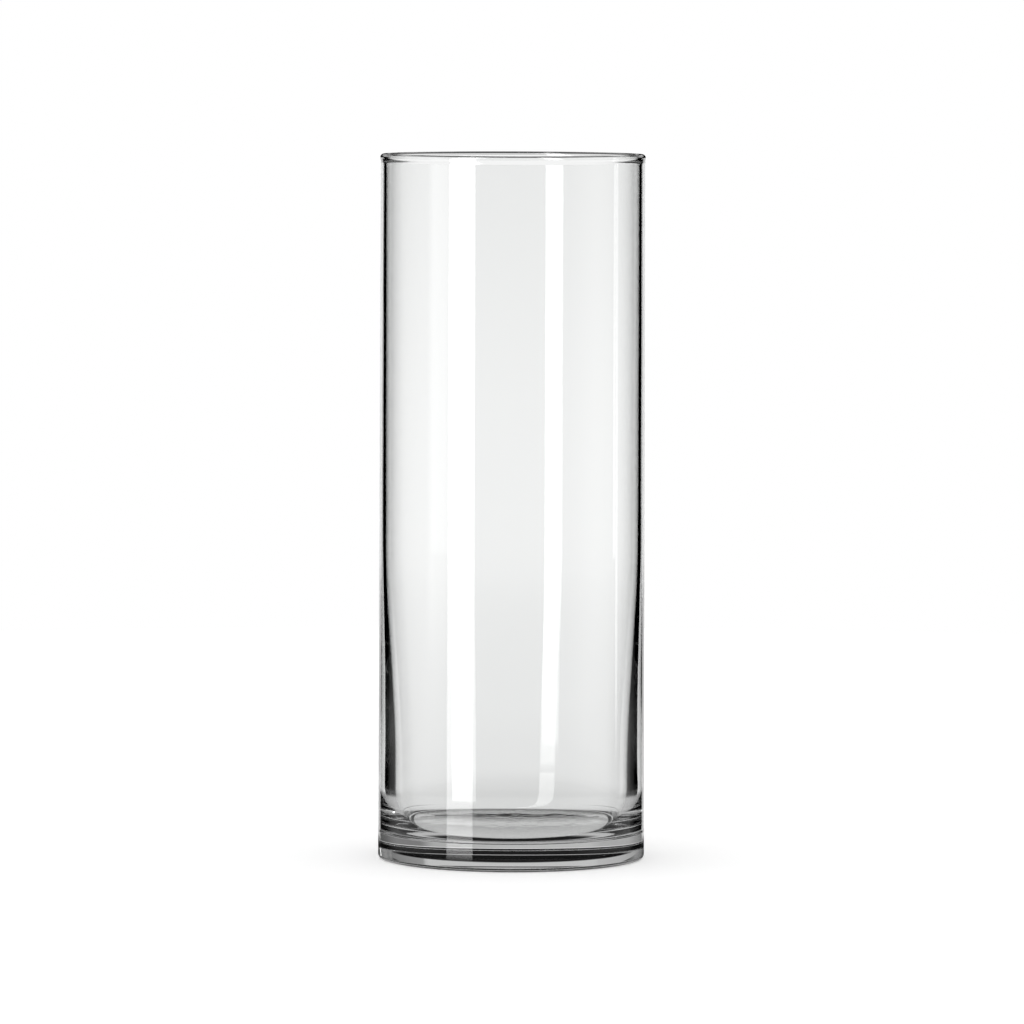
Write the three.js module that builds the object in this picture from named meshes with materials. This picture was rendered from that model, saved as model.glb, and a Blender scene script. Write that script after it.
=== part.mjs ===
// Clear glass cylinder vase, 3 1/2 in across and 9 1/4 in tall. It is one piece of glass: a straight
// thin wall with a fire-polished rim, which thickens downwards into a heavy solid base.
// Millimetres, +Z up, origin at the centre of the plane that the vase stands on.
import * as THREE from "three";

// Driving dimensions
const HEIGHT = 235; // standing plane to the top of the rim
const FOOT_RADIUS = 44.45; // outside, at the solid base
const UPPER_WALL_RADIUS = 43.95; // outside, under the rim; the wall draws in evenly from the foot up
const UPPER_WALL_THICKNESS = 1.85; // along the upper, parallel part of the wall
const BASE_WALL_THICKNESS = 5.6; // where the wall meets the corner at the floor
const FLOOR_THICKNESS = 9.3; // solid glass between the standing plane and the inner floor

// Rim: a bead a little thicker than the wall, rounded by the flame
const RIM_THICKNESS = 2.5;
const RIM_RADIUS = 44.15; // outside of the bead
const RIM_BLEND = 1.6; // height over which the bead runs out into the wall

// Inside: the wall thickens in an S-curve below THICKENS_BELOW, down to the corner at the floor,
// which is a quarter of an ellipse
const THICKENS_BELOW = 105;
const CORNER_WIDTH = 5;
const CORNER_HEIGHT = 15;

// Outside of the base: rounded heel, flat ring to stand on, shallow hollow underneath
const HEEL_RADIUS = 1.4;
const FOOT_HEIGHT = 9.6; // the foot is straight up to here, and the wall's draft starts
const RING_INNER_RADIUS = 40.4;
const HOLLOW_DEPTH = 0.8;

// Steps round the vase and along each curved stretch of its outline
const SEGMENTS_ROUND = 80;
const HOLLOW_STEPS = 5;
const HEEL_STEPS = 5;
const RIM_STEPS = 10;
const WALL_STEPS = 9;
const CORNER_STEPS = 9;

const point = (radius, height) => new THREE.Vector2(radius, height);

// 0 to 1 with a level start and end.
const ease = (share) => share * share * (3 - 2 * share);

// Points of an elliptic arc in the outline's plane, angles in degrees from the radius direction.
function arc(radiusAt, heightAt, width, height, fromDegrees, toDegrees, steps) {
  return Array.from({ length: steps + 1 }, (_, i) => {
    const angle = THREE.MathUtils.degToRad(
      fromDegrees + ((toDegrees - fromDegrees) * i) / steps,
    );
    return point(
      radiusAt + width * Math.cos(angle),
      heightAt + height * Math.sin(angle),
    );
  });
}

// Underside: from the axis down a shallow dome to the standing ring.
function underside() {
  const size =
    (RING_INNER_RADIUS ** 2 + HOLLOW_DEPTH ** 2) / (2 * HOLLOW_DEPTH);
  const spread = THREE.MathUtils.radToDeg(Math.asin(RING_INNER_RADIUS / size));
  const dome = arc(0, HOLLOW_DEPTH - size, size, size, 90, 90 - spread, HOLLOW_STEPS);
  dome[0] = point(0, HOLLOW_DEPTH);
  dome[HOLLOW_STEPS] = point(RING_INNER_RADIUS, 0);
  return dome;
}

// Outside: round the heel, up the straight foot and up the drafted wall to the rim bead.
function outside() {
  const heel = arc(
    FOOT_RADIUS - HEEL_RADIUS,
    HEEL_RADIUS,
    HEEL_RADIUS,
    HEEL_RADIUS,
    -90,
    0,
    HEEL_STEPS,
  );
  return [
    ...heel,
    point(FOOT_RADIUS, FOOT_HEIGHT),
    point(UPPER_WALL_RADIUS, HEIGHT - RIM_THICKNESS / 2 - RIM_BLEND),
  ];
}

// Rim: over the bead from the outside to the inside.
function rim() {
  const bead = RIM_THICKNESS / 2;
  return arc(RIM_RADIUS - bead, HEIGHT - bead, bead, bead, 0, 180, RIM_STEPS);
}

// Inside: down the parallel wall, in along the thickening, round the corner and over the floor.
function inside() {
  const cornerTop = FLOOR_THICKNESS + CORNER_HEIGHT;
  const upperRadius = UPPER_WALL_RADIUS - UPPER_WALL_THICKNESS;
  const lowerRadius = FOOT_RADIUS - BASE_WALL_THICKNESS;
  const wall = Array.from({ length: WALL_STEPS }, (_, i) => {
    const share = i / WALL_STEPS;
    return point(
      upperRadius - (upperRadius - lowerRadius) * ease(share),
      THICKENS_BELOW - (THICKENS_BELOW - cornerTop) * share,
    );
  });
  const corner = arc(
    lowerRadius - CORNER_WIDTH,
    cornerTop,
    CORNER_WIDTH,
    CORNER_HEIGHT,
    0,
    -90,
    CORNER_STEPS,
  );
  return [
    point(upperRadius, HEIGHT - RIM_THICKNESS / 2 - RIM_BLEND),
    ...wall,
    ...corner,
    point(0, FLOOR_THICKNESS),
  ];
}

const glass = new THREE.MeshStandardMaterial({
  name: "clear_glass",
  color: 0xeef1f0,
  roughness: 0.03,
  metalness: 0,
  transparent: true,
  opacity: 0.35,
});

const outline = [...underside(), ...outside(), ...rim(), ...inside()];
const body = new THREE.Mesh(
  new THREE.LatheGeometry(outline, SEGMENTS_ROUND),
  glass,
);
body.name = "vase_body";
body.rotation.x = Math.PI / 2; // the lathe turns about its own Y, and the vase stands along Z

const vase = new THREE.Group();
vase.name = "glass_cylinder_vase";
vase.add(body);

export default vase;
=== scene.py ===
import math

import bpy
from mathutils import Matrix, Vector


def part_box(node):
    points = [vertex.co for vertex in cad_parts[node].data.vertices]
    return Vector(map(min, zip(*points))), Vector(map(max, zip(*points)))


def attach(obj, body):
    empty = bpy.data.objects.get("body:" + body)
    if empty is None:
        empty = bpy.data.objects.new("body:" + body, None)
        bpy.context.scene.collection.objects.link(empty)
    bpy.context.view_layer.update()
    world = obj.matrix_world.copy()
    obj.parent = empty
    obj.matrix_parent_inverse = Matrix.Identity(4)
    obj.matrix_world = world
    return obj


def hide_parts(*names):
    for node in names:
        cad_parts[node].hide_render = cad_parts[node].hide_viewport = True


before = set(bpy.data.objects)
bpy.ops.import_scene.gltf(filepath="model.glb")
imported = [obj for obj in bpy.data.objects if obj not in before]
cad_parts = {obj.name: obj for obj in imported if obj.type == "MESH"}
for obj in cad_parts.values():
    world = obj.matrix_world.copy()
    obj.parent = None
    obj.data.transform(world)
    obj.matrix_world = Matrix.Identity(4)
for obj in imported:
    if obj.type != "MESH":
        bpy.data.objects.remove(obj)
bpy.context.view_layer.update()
bpy.ops.object.select_all(action="DESELECT")

MM = 0.001

# Sizes of the vase, from the frame's box
low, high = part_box("vase_body")
HEIGHT = high.z - low.z
FOOT_RADIUS = (high.x - low.x) / 2
UPPER_WALL_RADIUS = FOOT_RADIUS - 0.5 * MM  # the wall draws in a little from the foot up
RIM_RADIUS = FOOT_RADIUS - 0.3 * MM
UPPER_WALL = 1.85 * MM  # thickness of the wall
LOWER_WALL = 5.6 * MM
FLOOR_TOP = 9.3 * MM
RIM_BEAD = 1.25 * MM  # half the thickness of the rim
RIM_BLEND = 1.6 * MM
THICKENS_BELOW = 105 * MM
CORNER_WIDTH = 5 * MM  # the corner at the floor is a quarter of an ellipse
CORNER_HEIGHT = 15 * MM
DISC_RADIUS = FOOT_RADIUS - LOWER_WALL - CORNER_WIDTH  # the flat part of the inner floor
HEEL = 1.4 * MM
RING_INNER = 40.4 * MM
HOLLOW = 0.8 * MM
PARTING_HEIGHT = 9.6 * MM  # where the mould's foot plate met its wall
PARTING_RIDGE = 0.1 * MM
PARTING_HALF_WIDTH = 0.45 * MM

# Waves in the glass, as (size of a wave, stretch up the wall, depth)
WALL_WAVES = (0.012, 5, 0.06 * MM)
FLOOR_WAVES = (0.003, 1, 0.07 * MM)

GUARD = 0.1 * MM  # a close ring beside each round stretch keeps its shading off the straight one
CENTRE = 2 * MM  # radius of the small discs that close the underside and the floor
ROUND = 288  # faces round the vase


def ease(share):
    """0 to 1 with a level start and end."""
    share = min(max(share, 0.0), 1.0)
    return share * share * (3 - 2 * share)


def arc(radius_at, height_at, width, height, start, end, steps):
    """Rings along an elliptic arc of the outline, angles in degrees."""
    rings = []
    for i in range(steps + 1):
        angle = math.radians(start + (end - start) * i / steps)
        rings.append((radius_at + width * math.cos(angle), height_at + height * math.sin(angle)))
    return rings


def spaced(start, end, steps):
    return [start + (end - start) * i / steps for i in range(1, steps)]


def outer_radius(z):
    bead_height = HEIGHT - RIM_BEAD
    draft = (z - PARTING_HEIGHT) / (bead_height - PARTING_HEIGHT)
    wall = FOOT_RADIUS - (FOOT_RADIUS - UPPER_WALL_RADIUS) * max(draft, 0)
    ridge = PARTING_RIDGE * ease(1 - abs(z - PARTING_HEIGHT) / PARTING_HALF_WIDTH)
    rim = (RIM_RADIUS - UPPER_WALL_RADIUS) * ease(1 - (bead_height - z) / RIM_BLEND)
    return wall + ridge + rim


def inner_radius(z):
    upper = UPPER_WALL_RADIUS - UPPER_WALL
    lower = FOOT_RADIUS - LOWER_WALL
    corner_top = FLOOR_TOP + CORNER_HEIGHT
    thickening = (upper - lower) * ease((THICKENS_BELOW - z) / (THICKENS_BELOW - corner_top))
    rim = (upper - (RIM_RADIUS - 2 * RIM_BEAD)) * ease(1 - (HEIGHT - RIM_BEAD - z) / RIM_BLEND)
    return upper - thickening - rim


def outline():
    """Rings (radius, height) from the middle of the underside over the rim to the inner floor."""
    dome = (RING_INNER**2 + HOLLOW**2) / (2 * HOLLOW)
    rings = []
    for r in [CENTRE] + spaced(CENTRE, RING_INNER, 12) + [RING_INNER - GUARD, RING_INNER]:
        rings.append((r, HOLLOW - dome + math.sqrt(dome * dome - r * r)))
    rings += [(RING_INNER + GUARD, 0), (FOOT_RADIUS - HEEL - GUARD, 0)]
    rings += arc(FOOT_RADIUS - HEEL, HEEL, HEEL, HEEL, -90, 0, 14)

    ridge_low = PARTING_HEIGHT - PARTING_HALF_WIDTH
    ridge_high = PARTING_HEIGHT + PARTING_HALF_WIDTH
    bead_height = HEIGHT - RIM_BEAD
    blend_low = bead_height - RIM_BLEND
    heights = [HEEL + GUARD] + spaced(HEEL, ridge_low, 3) + [ridge_low - GUARD, ridge_low]
    heights += spaced(ridge_low, ridge_high, 8) + [ridge_high, ridge_high + GUARD]
    heights += spaced(ridge_high, blend_low, 14) + [blend_low - GUARD, blend_low]
    heights += spaced(blend_low, bead_height, 6)
    rings += [(outer_radius(z), z) for z in heights]

    rings += arc(RIM_RADIUS - RIM_BEAD, bead_height, RIM_BEAD, RIM_BEAD, 0, 180, 24)

    corner_top = FLOOR_TOP + CORNER_HEIGHT
    heights = spaced(bead_height, blend_low, 6) + [blend_low, blend_low - GUARD]
    heights += spaced(blend_low, THICKENS_BELOW, 36) + [THICKENS_BELOW]
    heights += spaced(THICKENS_BELOW, corner_top, 44)
    rings += [(inner_radius(z), z) for z in heights]

    rings += arc(DISC_RADIUS, corner_top, CORNER_WIDTH, CORNER_HEIGHT, 0, -90, 30)
    radii = [DISC_RADIUS - GUARD] + spaced(DISC_RADIUS, CENTRE, 40) + [CENTRE]
    rings += [(r, FLOOR_TOP) for r in radii]
    return rings


def glass_vase():
    """The whole vase: a small disc under the base, extruded ring by ring along the outline."""
    rings = outline()
    radius, z = rings[0]
    bpy.ops.mesh.primitive_circle_add(
        vertices=ROUND,
        radius=radius,
        fill_type="TRIFAN",
        location=(0, 0, z),
    )
    vase = bpy.context.object
    vase.name = "vase"
    bpy.ops.object.transform_apply(location=True)
    bpy.ops.object.mode_set(mode="EDIT")
    bpy.ops.mesh.select_mode(type="EDGE")
    bpy.ops.mesh.select_all(action="SELECT")
    bpy.ops.mesh.region_to_loop()
    for next_radius, next_z in rings[1:]:
        bpy.ops.mesh.extrude_edges_move(
            TRANSFORM_OT_translate={"value": (0, 0, next_z - z)}
        )
        share = next_radius / radius
        bpy.ops.transform.resize(value=(share, share, 1), center_override=(0, 0, 0))
        radius, z = next_radius, next_z
    bpy.ops.mesh.edge_face_add()
    bpy.ops.mesh.poke()
    bpy.ops.mesh.select_all(action="SELECT")
    bpy.ops.mesh.normals_make_consistent(inside=False)
    bpy.ops.object.mode_set(mode="OBJECT")
    bpy.ops.object.shade_smooth()
    return vase


def waves(vase, name, weights, grain, stretch, depth):
    """Displaces the weighted points by smooth noise, as glass that cooled unevenly."""
    group = vase.vertex_groups.new(name=name)
    for vertex in vase.data.vertices:
        weight = weights(vertex.co)
        if weight > 0:
            group.add([vertex.index], weight, "REPLACE")
    texture = bpy.data.textures.new(name, "CLOUDS")
    texture.noise_scale = grain
    bpy.ops.object.empty_add(location=(0, 0, 0))
    ruler = bpy.context.object
    ruler.scale = (1, 1, stretch)
    bpy.context.view_layer.update()
    bpy.ops.object.select_all(action="DESELECT")
    vase.select_set(True)
    bpy.context.view_layer.objects.active = vase
    wave = vase.modifiers.new(name, "DISPLACE")
    wave.texture = texture
    wave.texture_coords = "OBJECT"
    wave.texture_coords_object = ruler
    wave.vertex_group = name
    wave.strength = depth
    bpy.ops.object.modifier_apply(modifier=name)
    vase.vertex_groups.remove(vase.vertex_groups[name])
    bpy.data.objects.remove(ruler)


def inner_wall_weight(point):
    """More towards the bottom, where the glass is thick; none at the rim and outside."""
    radius = math.hypot(point.x, point.y)
    if radius > inner_radius(point.z) + 0.3 * MM or point.z < FLOOR_TOP + 0.5 * MM:
        return 0
    if radius < DISC_RADIUS:
        return 0
    below_rim = ease((HEIGHT - 8 * MM - point.z) / (30 * MM))
    return below_rim * (0.25 + 0.75 * ease((THICKENS_BELOW - point.z) / (60 * MM)))


def floor_weight(point):
    """Full over the flat inner floor, running out at its edge."""
    radius = math.hypot(point.x, point.y)
    if abs(point.z - FLOOR_TOP) > 0.05 * MM or radius > DISC_RADIUS:
        return 0
    return ease((DISC_RADIUS - radius) / (2 * MM))


def clear_glass():
    mat = bpy.data.materials.new("clear_glass")
    mat.use_nodes = True
    shader = mat.node_tree.nodes["Principled BSDF"]
    shader.inputs["Base Color"].default_value = (0.985, 0.99, 0.987, 1)
    shader.inputs["Roughness"].default_value = 0.0
    shader.inputs["IOR"].default_value = 1.52
    shader.inputs["Transmission Weight"].default_value = 1.0
    return mat


def calc(tree, operation, first, second=None):
    """A Math node; each value is a number or a socket."""
    node = tree.nodes.new("ShaderNodeMath")
    node.operation = operation
    for socket, value in zip(node.inputs, (first, second)):
        if value is None:
            continue
        if isinstance(value, (int, float)):
            socket.default_value = value
        else:
            tree.links.new(value, socket)
    return node.outputs[0]


def rise(tree, value, start, end):
    """0 below start, 1 above end, smooth between."""
    node = tree.nodes.new("ShaderNodeMapRange")
    node.interpolation_type = "SMOOTHSTEP"
    tree.links.new(value, node.inputs["Value"])
    node.inputs["From Min"].default_value = start
    node.inputs["From Max"].default_value = end
    return node.outputs["Result"]


def between(tree, value, start, end, edge):
    """1 from start to end, 0 outside."""
    return calc(
        tree,
        "SUBTRACT",
        rise(tree, value, start - edge / 2, start + edge / 2),
        rise(tree, value, end - edge / 2, end + edge / 2),
    )


def blend(tree, share, first, second):
    """first where share is 0, second where it is 1."""
    node = tree.nodes.new("ShaderNodeMix")
    tree.links.new(share, node.inputs["Factor"])
    for socket, value in ((node.inputs["A"], first), (node.inputs["B"], second)):
        if isinstance(value, (int, float)):
            socket.default_value = value
        else:
            tree.links.new(value, socket)
    return node.outputs["Result"]


def mix_shaders(tree, share, first, second):
    """first where share is 0, second where it is 1."""
    node = tree.nodes.new("ShaderNodeMixShader")
    tree.links.new(share, node.inputs[0])
    tree.links.new(first, node.inputs[1])
    tree.links.new(second, node.inputs[2])
    return node.outputs[0]


def levels(tree, value, points):
    """Straight-line levels of light: points are (value, level), with value from 0 to 1."""
    node = tree.nodes.new("ShaderNodeValToRGB")
    ramp = node.color_ramp
    first, last = ramp.elements[0], ramp.elements[1]
    first.position, last.position = points[0][0], points[-1][0]
    first.color = (points[0][1],) * 3 + (1,)
    last.color = (points[-1][1],) * 3 + (1,)
    for place, level in points[1:-1]:
        ramp.elements.new(place).color = (level, level, level, 1)
    tree.links.new(value, node.inputs["Fac"])
    return node.outputs["Color"]


def turn(degrees):
    """Share of a full turn; 0 degrees is straight behind the vase and + is to its right."""
    return degrees / 360 + 0.5


# Studio, as directions in degrees seen from the vase: 0 is straight behind it, + to its right.
# Each list of levels is (direction, level of light).
WINDOW = 22.5  # half width of the bright sweep behind
WINDOW_LOW, WINDOW_HIGH = -0.45, -0.01  # its lower and upper edge, as rise over run
BAND_LOW, BAND_HIGH = 0.152, 0.27  # lit band of the back wall, as rise over run
BAND_LEVELS = [
    (-110, 0),
    (-60, 0.45),
    (-31, 0.5),
    (-29, 0.57),
    (29, 0.57),
    (31, 0.3),
    (60, 0.2),
    (110, 0),
]

# Strip softbox, front left, and the same as the back of the vase sees it
STRIP_FROM, STRIP_TO = -146.5, -122.5
STRIP_BEHIND_FROM, STRIP_BEHIND_TO = -149.5, -133
STRIP_LOWEST = -60  # lower end, in degrees above level
STRIP_LIGHT = 4.5

# Soft light beside the strip
FLANK_FROM, FLANK_TO = -122.5, -103
FLANK_LOWEST = -5.3
FLANK_LIGHT = 1.0

# Narrow lamp on the right
LAMP_FROM, LAMP_TO = 75.4, 78.2
LAMP_LOWEST = -6.1
LAMP_LIGHT = 2.1

# Side walls, and the same higher up, as the thick corner of the glass sees them
SIDE_LEVELS = [
    (-100, 0),
    (-80, 0.2),
    (-60, 0.28),
    (-50, 0.1),
    (-45, 0),
    (45, 0),
    (53, 0.1),
    (55.5, 0.35),
    (58, 0.26),
    (64, 0.26),
    (66, 0.4),
    (69, 0.15),
    (78, 0.1),
    (100, 0),
]
TALL_LEVELS = [
    (-130, 0),
    (-100, 0.35),
    (-62, 0.35),
    (-54, 0),
    (54, 0),
    (62, 0.35),
    (100, 0.35),
    (130, 0),
]

# Light of the studio's own floor and fittings at the front, and its share by degrees above level
GLOW_LEVELS = [
    (-180, 1),
    (-90, 1),
    (-60, 0.8),
    (-48, 0.2),
    (-44, 0),
    (44, 0),
    (48, 0.2),
    (60, 0.8),
    (90, 1),
    (180, 1),
]
GLOW_REACH = 15  # degrees above and below level
GLOW_HEIGHTS = [
    (-15, 0.25),
    (-6, 0.3),
    (-4.5, 0.42),
    (-3.2, 0.38),
    (-2, 0.18),
    (-1.2, 0.0),
    (15, 0.0),
]

CEILING = 0.03
CEILING_FROM, CEILING_TO = 25, 38  # degrees above level over which it begins

# The table just behind the foot, seen low through the base, mirrors what stands behind it
BASE_LEVELS = [
    (-180, 0.4),
    (-32, 0.4),
    (-26, 0.5),
    (0, 0.5),
    (26, 0.4),
    (32, 0.18),
    (180, 0.15),
]

# Steps of a ray's path through the glass
THROUGH_GLASS = 0.5  # passes through a surface at least once
OUT_OF_BASE = 2  # in and out of solid glass
THROUGH_FRONT_WALL = 2.5  # not more than one wall
THROUGH_BACK_WALL = 3.5  # more than one wall
REFLECTED = 0.5
REFLECTED_TWICE = 1.5
MANY_REFLECTIONS = 5.5
MANY_BOUNCES = 0.05  # share of the light left after so many reflections


def over(tree, count, threshold):
    """1 where a ray's count of steps is over the threshold."""
    return calc(tree, "GREATER_THAN", count, threshold)


def under(tree, count, threshold):
    return calc(tree, "LESS_THAN", count, threshold)


def times(tree, first, second):
    return calc(tree, "MULTIPLY", first, second)


def other(tree, share):
    """1 minus the share."""
    return calc(tree, "SUBTRACT", 1, share)


def round_levels(tree, round_share, points):
    return levels(tree, round_share, [(turn(degrees), level) for degrees, level in points])


def panel(tree, round_share, start, end, edge):
    """1 from one direction to another, with soft edges of so many degrees."""
    return between(tree, round_share, turn(start), turn(end), edge / 360)


def starts_at(tree, elevation, low, high):
    """0 below low, 1 above high, in degrees above level."""
    return rise(tree, elevation, math.radians(low), math.radians(high))


def studio():
    """White straight through the glass; a dark studio with lit panels for what it reflects."""
    world = bpy.data.worlds.new("studio")
    bpy.context.scene.world = world
    world.cycles.sampling_method = "NONE"
    world.use_nodes = True
    tree = world.node_tree
    place = tree.nodes.new("ShaderNodeTexCoord").outputs["Generated"]
    split = tree.nodes.new("ShaderNodeSeparateXYZ")
    tree.links.new(place, split.inputs[0])
    x, y, z = split.outputs
    azimuth = calc(tree, "ARCTAN2", x, y)
    round_share = calc(tree, "ADD", calc(tree, "DIVIDE", azimuth, 2 * math.pi), 0.5)
    elevation = calc(tree, "ARCSINE", z)
    slope = calc(tree, "DIVIDE", z, calc(tree, "MAXIMUM", y, 0.001))
    path = tree.nodes.new("ShaderNodeLightPath")
    through = path.outputs["Transmission Depth"]
    bounces = path.outputs["Glossy Depth"]

    # Side walls, low and tall, with the glow of the studio's floor
    high_up = starts_at(tree, elevation, 8, 14)
    top_up = starts_at(tree, elevation, 30, 36)
    low_side = blend(tree, high_up, round_levels(tree, round_share, SIDE_LEVELS), 0)
    tall_side = blend(tree, top_up, round_levels(tree, round_share, TALL_LEVELS), 0)
    side = calc(tree, "MAXIMUM", low_side, tall_side)
    glow = round_levels(tree, round_share, GLOW_LEVELS)
    reach = math.radians(2 * GLOW_REACH)
    height_share = calc(tree, "ADD", calc(tree, "DIVIDE", elevation, reach), 0.5)
    points = [((e + GLOW_REACH) / (2 * GLOW_REACH), level) for e, level in GLOW_HEIGHTS]
    side = calc(tree, "ADD", side, times(tree, glow, levels(tree, height_share, points)))

    # Lamp and flank, which don't reach the back wall of the vase
    lamp = panel(tree, round_share, LAMP_FROM, LAMP_TO, 1)
    lamp = times(tree, lamp, LAMP_LIGHT)
    lamp = times(tree, lamp, starts_at(tree, elevation, LAMP_LOWEST, LAMP_LOWEST + 1))
    flank = panel(tree, round_share, FLANK_FROM, FLANK_TO, 8)
    flank = times(tree, flank, FLANK_LIGHT)
    flank = times(tree, flank, starts_at(tree, elevation, FLANK_LOWEST, FLANK_LOWEST + 1))
    small = calc(tree, "ADD", lamp, flank)
    small = times(tree, small, under(tree, through, THROUGH_FRONT_WALL))
    small = times(tree, small, other(tree, high_up))
    side = calc(tree, "ADD", side, small)
    side_inside = times(tree, side, MANY_BOUNCES)
    side = blend(tree, over(tree, bounces, MANY_REFLECTIONS), side, side_inside)

    # Window and lit band behind the vase
    window = panel(tree, round_share, -WINDOW, WINDOW, 1)
    window = times(tree, window, between(tree, slope, WINDOW_LOW, WINDOW_HIGH, 0.02))
    band = round_levels(tree, round_share, BAND_LEVELS)
    band = times(tree, band, between(tree, slope, BAND_LOW, BAND_HIGH, 0.015))
    band = times(tree, band, rise(tree, y, 0.05, 0.1))
    backdrop = calc(tree, "MAXIMUM", window, band)
    backdrop = times(tree, backdrop, under(tree, bounces, REFLECTED_TWICE))

    # Strip softbox
    strip = panel(tree, round_share, STRIP_FROM, STRIP_TO, 1)
    strip_behind = panel(tree, round_share, STRIP_BEHIND_FROM, STRIP_BEHIND_TO, 1)
    strip = blend(tree, over(tree, through, THROUGH_BACK_WALL), strip, strip_behind)
    strip = times(tree, strip, under(tree, bounces, REFLECTED_TWICE))
    strip = times(tree, strip, starts_at(tree, elevation, STRIP_LOWEST - 1, STRIP_LOWEST + 1))

    rig = calc(tree, "MAXIMUM", side, backdrop)
    rig = calc(tree, "MAXIMUM", rig, times(tree, strip, STRIP_LIGHT))

    # What looks straight through the glass
    low_view = between(tree, elevation, math.radians(-10), math.radians(-4), 0.01)
    in_base = times(tree, calc(tree, "COMPARE", through, OUT_OF_BASE), low_view)
    plain = blend(tree, in_base, 1.0, round_levels(tree, round_share, BASE_LEVELS))
    ceiling = starts_at(tree, elevation, CEILING_FROM, CEILING_TO)
    ceiling = times(tree, ceiling, over(tree, through, THROUGH_GLASS))
    plain = blend(tree, ceiling, plain, CEILING)
    light = blend(tree, over(tree, bounces, REFLECTED), plain, rig)
    tree.links.new(light, tree.nodes["Background"].inputs["Color"])


FLOOR_RADIUS = 0.9
FLOOR_COLOUR = 0.8
FLOOR_LIFT = 0.33  # light of its own, which brings the open floor to white
FLOOR_GAP = 0.05 * MM  # keeps the standing ring and the floor from sharing a plane

# Painted light of the floor seen straight through the glass, low and from above, darkest just round
# the foot as a painted shadow: (metres off the axis, level)
FLOOR_LEVELS = [
    (0, 0.68),
    (0.044, 0.68),
    (0.046, 0.3),
    (0.065, 0.5),
    (0.140, 0.78),
    (0.171, 0.83),
    (0.325, 0.917),
    (0.48, 0.945),
    (0.9, 1.0),
]
FLOOR_FROM_ABOVE = [
    (0, 0.68),
    (0.044, 0.7),
    (0.05, 0.78),
    (0.171, 0.83),
    (0.325, 0.917),
    (0.48, 0.945),
    (0.9, 1.0),
]
RIM_LEVEL = 0.1  # painted dark of the floor, where the rim bends the view steeply down
LOW_IN_BASE_TO = 0.075  # metres off the axis to which the base, seen low, shows the studio instead

# Painted light of the floor in what the glass reflects: near black seen low, paler seen from above
MIRRORED_LOW = 0.02
MIRRORED_FROM_ABOVE = 0.52
MIRRORED_LOW_TO = (0.064, 0.1)  # metres off the axis over which it ends
MIRRORED_FROM_ABOVE_TO = (0.13, 0.16)

# Ring of painted dark, seen only straight through the base
EDGE_RADIUS = 0.15
EDGE_HEIGHT = 0.045
EDGE_LEVEL = 0.02


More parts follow.
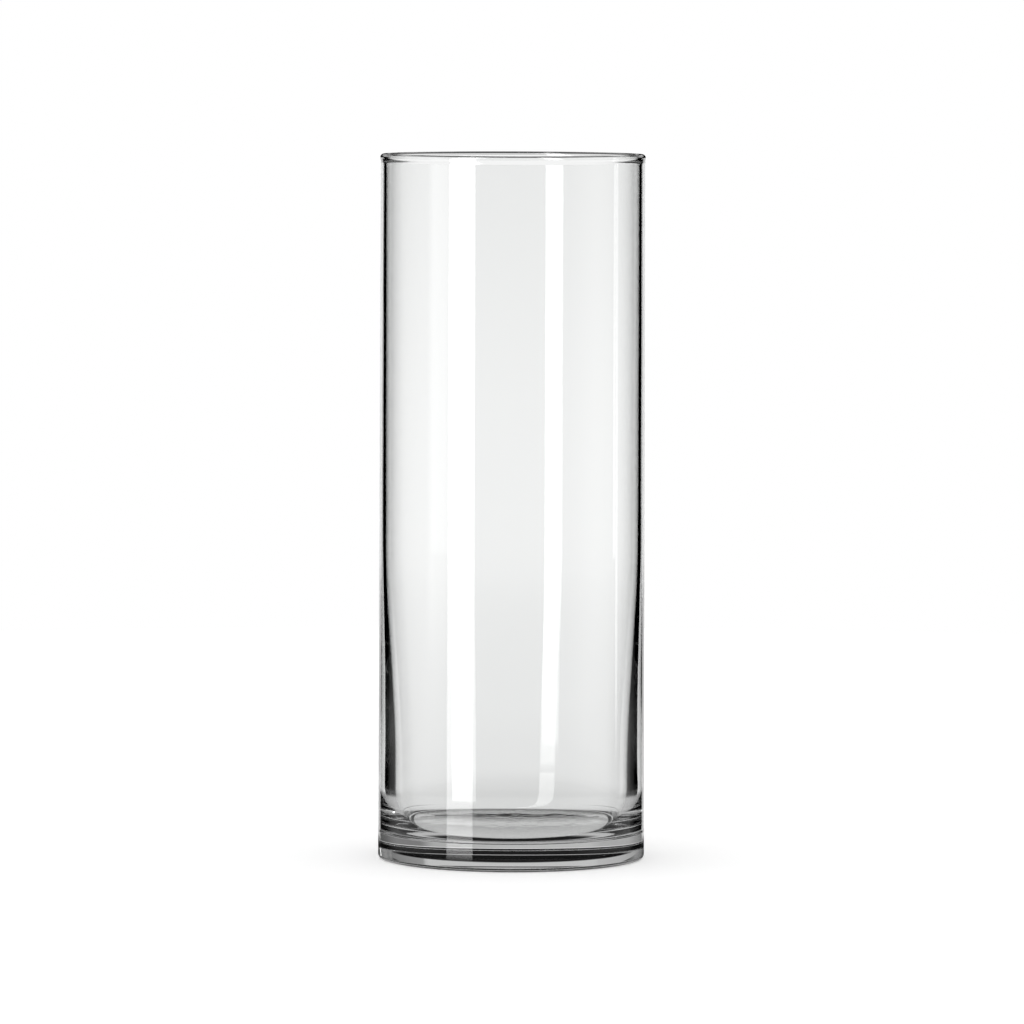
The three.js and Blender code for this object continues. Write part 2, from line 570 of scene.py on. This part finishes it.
def floor_material():
    """Plain pale floor; through the glass and in its reflections it takes the painted levels above,
    with painted shade round the foot.
    """
    mat = bpy.data.materials.new("floor")
    mat.use_nodes = True
    tree = mat.node_tree
    nodes, links = tree.nodes, tree.links
    nodes.remove(nodes["Principled BSDF"])
    plain = nodes.new("ShaderNodeBsdfDiffuse")
    plain.inputs["Color"].default_value = (FLOOR_COLOUR, FLOOR_COLOUR, FLOOR_COLOUR, 1)
    lift = nodes.new("ShaderNodeEmission")
    lift.inputs["Strength"].default_value = FLOOR_LIFT
    white = nodes.new("ShaderNodeAddShader")
    links.new(plain.outputs[0], white.inputs[0])
    links.new(lift.outputs[0], white.inputs[1])
    gone = nodes.new("ShaderNodeBsdfTransparent").outputs[0]

    place = nodes.new("ShaderNodeTexCoord").outputs["Object"]
    length = nodes.new("ShaderNodeVectorMath")
    length.operation = "LENGTH"
    links.new(place, length.inputs[0])
    away = length.outputs["Value"]  # from the axis
    share = calc(tree, "DIVIDE", away, FLOOR_RADIUS)
    path = nodes.new("ShaderNodeLightPath")
    through_count = path.outputs["Transmission Depth"]
    reflected = over(tree, path.outputs["Glossy Depth"], REFLECTED)
    weight = nodes.new("ShaderNodeLayerWeight")
    weight.inputs["Blend"].default_value = 0.5
    facing = weight.outputs["Facing"]  # 0 from straight above, 1 along the floor
    came_from = times(tree, path.outputs["Ray Length"], other(tree, facing))  # height

    # Straight through the glass: painted levels with a painted shadow round the foot, changing with
    # the angle of view
    low_view = levels(tree, share, [(r / FLOOR_RADIUS, level) for r, level in FLOOR_LEVELS])
    high_view = levels(tree, share, [(r / FLOOR_RADIUS, level) for r, level in FLOOR_FROM_ABOVE])
    painted_floor_level = blend(tree, rise(tree, facing, 0.72, 0.84), high_view, low_view)
    # Painted dark: the floor drops to RIM_LEVEL where a steep view comes down from the rim, or
    # steeply from high up further out
    from_rim = rise(tree, came_from, HEIGHT - 8 * MM, HEIGHT - 6 * MM)
    painted_rim_dark = times(tree, other(tree, rise(tree, facing, 0.5, 0.8)), from_rim)
    steep = other(tree, rise(tree, facing, 0.44, 0.57))
    steep = times(tree, steep, rise(tree, away, 0.07, 0.10))
    steep = times(tree, steep, rise(tree, came_from, 0.10, 0.13))
    painted_rim_dark = calc(tree, "MAXIMUM", painted_rim_dark, steep)
    through = nodes.new("ShaderNodeEmission")
    links.new(blend(tree, painted_rim_dark, painted_floor_level, RIM_LEVEL), through.inputs["Color"])
    in_base = calc(tree, "COMPARE", through_count, OUT_OF_BASE)
    in_base = times(tree, in_base, rise(tree, facing, 0.84, 0.86))
    in_base = times(tree, in_base, between(tree, away, FOOT_RADIUS, LOW_IN_BASE_TO, 0.001))
    straight = mix_shaders(tree, in_base, through.outputs[0], gone)

    # Mirrored in the glass: painted reflection of the floor, near black seen low
    steep_seen = other(tree, rise(tree, facing, 0.74, 0.84))
    above = times(tree, rise(tree, facing, 0.25, 0.5), MIRRORED_FROM_ABOVE)
    shade = nodes.new("ShaderNodeEmission")
    links.new(blend(tree, steep_seen, MIRRORED_LOW, above), shade.inputs["Strength"])
    low_end = rise(tree, away, *MIRRORED_LOW_TO)
    high_end = rise(tree, away, *MIRRORED_FROM_ABOVE_TO)
    ends = blend(tree, steep_seen, low_end, high_end)
    mirrored = mix_shaders(tree, ends, shade.outputs[0], gone)

    glass_sees = mix_shaders(tree, reflected, straight, mirrored)
    by_glass = calc(tree, "MAXIMUM", over(tree, through_count, THROUGH_GLASS), reflected)
    surface = mix_shaders(tree, by_glass, white.outputs[0], glass_sees)
    links.new(surface, nodes["Material Output"].inputs["Surface"])
    return mat


def floor():
    bpy.ops.mesh.primitive_circle_add(
        vertices=96,
        radius=FLOOR_RADIUS,
        fill_type="NGON",
        location=(0, 0, -FLOOR_GAP),
    )
    ground = bpy.context.object
    ground.name = "floor"
    ground.data.materials.append(floor_material())


def painted_dark_edge():
    """Low ring round the table, seen only straight through the base: a near-black sheet that paints
    the dark studio the thick base shows just above the table.
    """
    bpy.ops.mesh.primitive_cylinder_add(
        vertices=96,
        radius=EDGE_RADIUS,
        depth=EDGE_HEIGHT,
        end_fill_type="NOTHING",
        location=(0, 0, EDGE_HEIGHT / 2),
    )
    ring = bpy.context.object
    ring.name = "painted_dark_edge"
    ring.visible_camera = False
    ring.visible_diffuse = False
    ring.visible_shadow = False
    mat = bpy.data.materials.new("painted_dark_edge")
    mat.use_nodes = True
    tree = mat.node_tree
    nodes, links = tree.nodes, tree.links
    nodes.remove(nodes["Principled BSDF"])
    path = nodes.new("ShaderNodeLightPath")
    through_base = calc(tree, "COMPARE", path.outputs["Transmission Depth"], OUT_OF_BASE)
    straight = under(tree, path.outputs["Glossy Depth"], REFLECTED)
    gone = nodes.new("ShaderNodeBsdfTransparent")
    black = nodes.new("ShaderNodeEmission")
    black.inputs["Strength"].default_value = EDGE_LEVEL
    shown = times(tree, through_base, straight)
    surface = mix_shaders(tree, shown, gone.outputs[0], black.outputs[0])
    links.new(surface, nodes["Material Output"].inputs["Surface"])
    ring.data.materials.append(mat)


vase = glass_vase()
waves(vase, "wall_waves", inner_wall_weight, *WALL_WAVES)
waves(vase, "floor_waves", floor_weight, *FLOOR_WAVES)
vase.data.materials.append(clear_glass())
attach(vase, "root")
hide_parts("vase_body")
floor()
painted_dark_edge()
studio()

# Camera, a little above the rim and looking slightly down
CAMERA_DISTANCE = 2.37
CAMERA_HEIGHT = 0.280
CAMERA_PITCH = -3.966
CAMERA_ROLL = 0.17
CAMERA_LENS = 250.45
camera_data = bpy.data.cameras.new("camera")
camera = bpy.data.objects.new("camera", camera_data)
bpy.context.collection.objects.link(camera)
camera.location = (0, -CAMERA_DISTANCE, CAMERA_HEIGHT)
pitch = Matrix.Rotation(math.radians(90 + CAMERA_PITCH), 3, "X")
roll = Matrix.Rotation(math.radians(CAMERA_ROLL), 3, "Z")
camera.rotation_euler = (pitch @ roll).to_euler()
camera_data.lens = CAMERA_LENS
camera_data.sensor_width = 36
bpy.context.scene.camera = camera

# Enough bounces for light that is trapped in the thick base
cycles = bpy.context.scene.cycles
cycles.max_bounces = 32
cycles.glossy_bounces = 24
cycles.transmission_bounces = 24

bpy.context.scene.view_settings.view_transform = "Standard"
